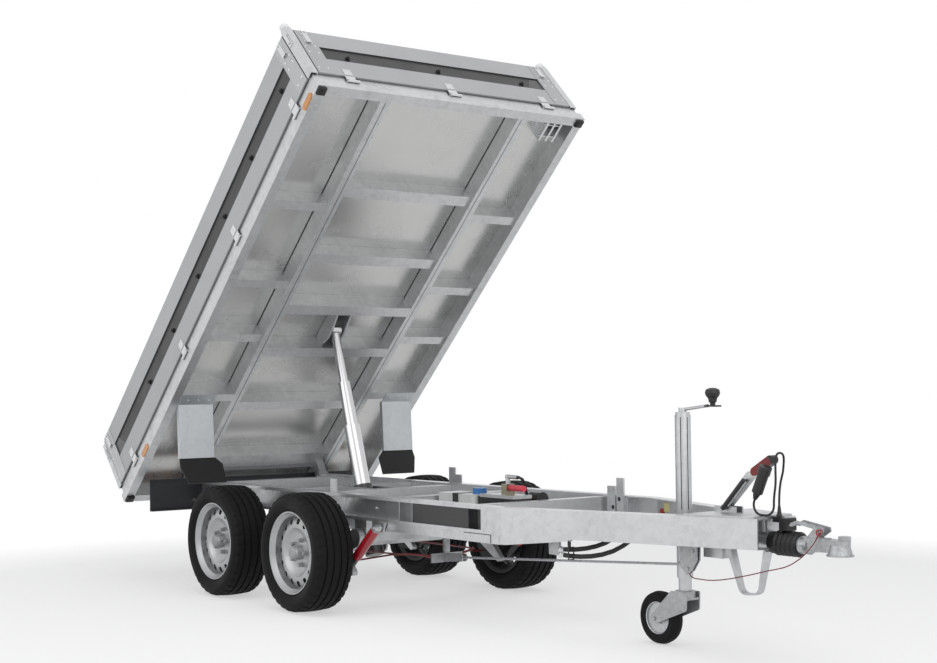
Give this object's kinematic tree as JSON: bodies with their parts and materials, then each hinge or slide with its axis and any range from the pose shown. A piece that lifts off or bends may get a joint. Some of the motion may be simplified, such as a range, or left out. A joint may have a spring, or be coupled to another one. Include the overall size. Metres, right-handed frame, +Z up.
{
  "type": "dump trailer",
  "caption": "Tandem-axle dump trailer with a tipped bed, drop sides, telescopic lift cylinder, overrun coupling and jockey wheel.",
  "frame": {"origin": "middle of the trailer's length and width, on the ground, with the bed tipped", "axes": "+X towards the coupling, +Y to the trailer's left, +Z up"},
  "size_m": [4.3664, 1.51, 2.5812],
  "materials": {
    "galvanised": "satin",
    "bed_steel": "satin",
    "panel": "satin",
    "rim_silver": "satin",
    "tyre": "matt",
    "rubber": "matt",
    "black_plastic": "matt",
    "board": "satin",
    "lamp_red": "gloss",
    "amber": "gloss",
    "red_paint": "gloss",
    "pump_black": "satin",
    "tank": "satin",
    "chromed": "gloss",
    "red_cable": "satin"
  },
  "bodies": {
    "chassis": {"rail_left": "galvanised", "rail_right": "galvanised", "under_beams": "galvanised", "drawbar_left": "galvanised", "drawbar_right": "galvanised", "crossmembers": "galvanised", "cylinder_cradle": "galvanised", "axle_front": "galvanised", "axle_rear": "galvanised", "dampers": "red_paint", "brake_linkage": "galvanised", "lamp_board": "board", "rear_lamps": "lamp_red", "pump_unit": "pump_black", "pump_tank": "tank", "hoses": "rubber", "overrun_housing": "galvanised", "overrun_boot": "rubber", "coupling_head": "galvanised", "coupling_handle": "galvanised", "handbrake_lever": "galvanised", "handbrake_grip": "black_plastic", "handbrake_strut": "pump_black", "rest_bow": "galvanised", "jockey_clamp": "galvanised", "lead": "rubber", "lead_plug": "black_plastic", "breakaway_cable": "red_cable"},
    "bed": {"bed_rim": "bed_steel", "bed_beams": "bed_steel", "bed_crossbeams": "bed_steel", "bed_outriggers": "bed_steel", "bed_floor": "bed_steel", "lift_bracket": "galvanised", "corner_posts": "galvanised", "mudguards": "bed_steel", "mud_flaps": "rubber", "reflectors": "amber"},
    "side_left": {"side_left": "panel"},
    "side_right": {"side_right": "panel"},
    "front_panel": {"front_panel": "panel"},
    "tailgate": {"tailgate": "panel"},
    "cylinder_barrel": {"cylinder_barrel": "pump_black"},
    "cylinder_stage_1": {"cylinder_stage_1": "pump_black"},
    "cylinder_stage_2": {"cylinder_stage_2": "chromed"},
    "cylinder_rod": {"cylinder_rod": "chromed"},
    "jockey_leg": {"jockey_post": "galvanised", "jockey_crank": "black_plastic"},
    "jockey_fork": {"jockey_fork": "galvanised"},
    "jockey_wheel": {"jockey_wheel": "tyre"},
    "wheel_front_left": {"tyre_front_left": "tyre", "rim_front_left": "rim_silver"},
    "wheel_front_right": {"tyre_front_right": "tyre", "rim_front_right": "rim_silver"},
    "wheel_rear_left": {"tyre_rear_left": "tyre", "rim_rear_left": "rim_silver"},
    "wheel_rear_right": {"tyre_rear_right": "tyre", "rim_rear_right": "rim_silver"}
  },
  "joints": [
    {"name": "bed_tip", "type": "hinge", "parent": "chassis", "child": "bed", "pos_m": [-1.6987, 0, 0.502], "axis": [0, -1, 0], "range_deg": [-43.5, 1.5]},
    {"name": "side_left_drop", "type": "hinge", "parent": "bed", "child": "side_left", "pos_m": [-0.96612, 0.748, 1.37089], "axis": [-0.7254, 0, -0.6884], "range_deg": [0, 180]},
    {"name": "side_right_drop", "type": "hinge", "parent": "bed", "child": "side_right", "pos_m": [-0.96612, -0.748, 1.37089], "axis": [0.7254, 0, 0.6884], "range_deg": [0, 180]},
    {"name": "front_drop", "type": "hinge", "parent": "bed", "child": "front_panel", "pos_m": [0.01132, 0, 2.29845], "axis": [0, 1, 0], "range_deg": [0, 90]},
    {"name": "tailgate_swing", "type": "hinge", "parent": "bed", "child": "tailgate", "pos_m": [-2.16436, 0, 0.70942], "axis": [0, 1, 0], "range_deg": [0, 90]},
    {"name": "cylinder_lean", "type": "hinge", "parent": "chassis", "child": "cylinder_barrel", "pos_m": [-0.6907, 0, 0.215], "axis": [0, -1, 0], "range_deg": [-20.19, 0.89]},
    {"name": "cylinder_stage_1_slide", "type": "slide", "parent": "cylinder_barrel", "child": "cylinder_stage_1", "axis": [-0.307, 0, 0.9517], "range_m": [-0.28958, 0.01047]},
    {"name": "cylinder_stage_2_slide", "type": "slide", "parent": "cylinder_stage_1", "child": "cylinder_stage_2", "axis": [-0.307, 0, 0.9517], "range_m": [-0.21354, 0.00785]},
    {"name": "cylinder_rod_slide", "type": "slide", "parent": "cylinder_stage_2", "child": "cylinder_rod", "axis": [-0.307, 0, 0.9517], "range_m": [-0.21569, 0.00792]},
    {"name": "wheel_front_left_spin", "type": "hinge", "parent": "chassis", "child": "wheel_front_left", "pos_m": [-0.3492, 0.584, 0.2625], "axis": [0, 1, 0], "continuous": true},
    {"name": "wheel_front_right_spin", "type": "hinge", "parent": "chassis", "child": "wheel_front_right", "pos_m": [-0.3492, -0.584, 0.2625], "axis": [0, 1, 0], "continuous": true},
    {"name": "wheel_rear_left_spin", "type": "hinge", "parent": "chassis", "child": "wheel_rear_left", "pos_m": [-1.0722, 0.584, 0.2625], "axis": [0, 1, 0], "continuous": true},
    {"name": "wheel_rear_right_spin", "type": "hinge", "parent": "chassis", "child": "wheel_rear_right", "pos_m": [-1.0722, -0.584, 0.2625], "axis": [0, 1, 0], "continuous": true},
    {"name": "jockey_lift", "type": "slide", "parent": "chassis", "child": "jockey_leg", "axis": [0, 0, 1], "range_m": [0, 0.14]},
    {"name": "jockey_swivel", "type": "hinge", "parent": "jockey_leg", "child": "jockey_fork", "pos_m": [1.4093, 0, 0.2], "axis": [0, 0, 1], "continuous": true},
    {"name": "jockey_wheel_spin", "type": "hinge", "parent": "jockey_fork", "child": "jockey_wheel", "pos_m": [1.2793, 0, 0.1], "axis": [0, 1, 0], "continuous": true}
  ],
  "couplings": [
    {"joint": "cylinder_lean", "follows": "bed_tip", "ratio": 0.45946},
    {"joint": "cylinder_stage_1_slide", "follows": "bed_tip", "m_per_rad": 0.38075},
    {"joint": "cylinder_stage_2_slide", "follows": "bed_tip", "m_per_rad": 0.28061},
    {"joint": "cylinder_rod_slide", "follows": "bed_tip", "m_per_rad": 0.28344}
  ]
}
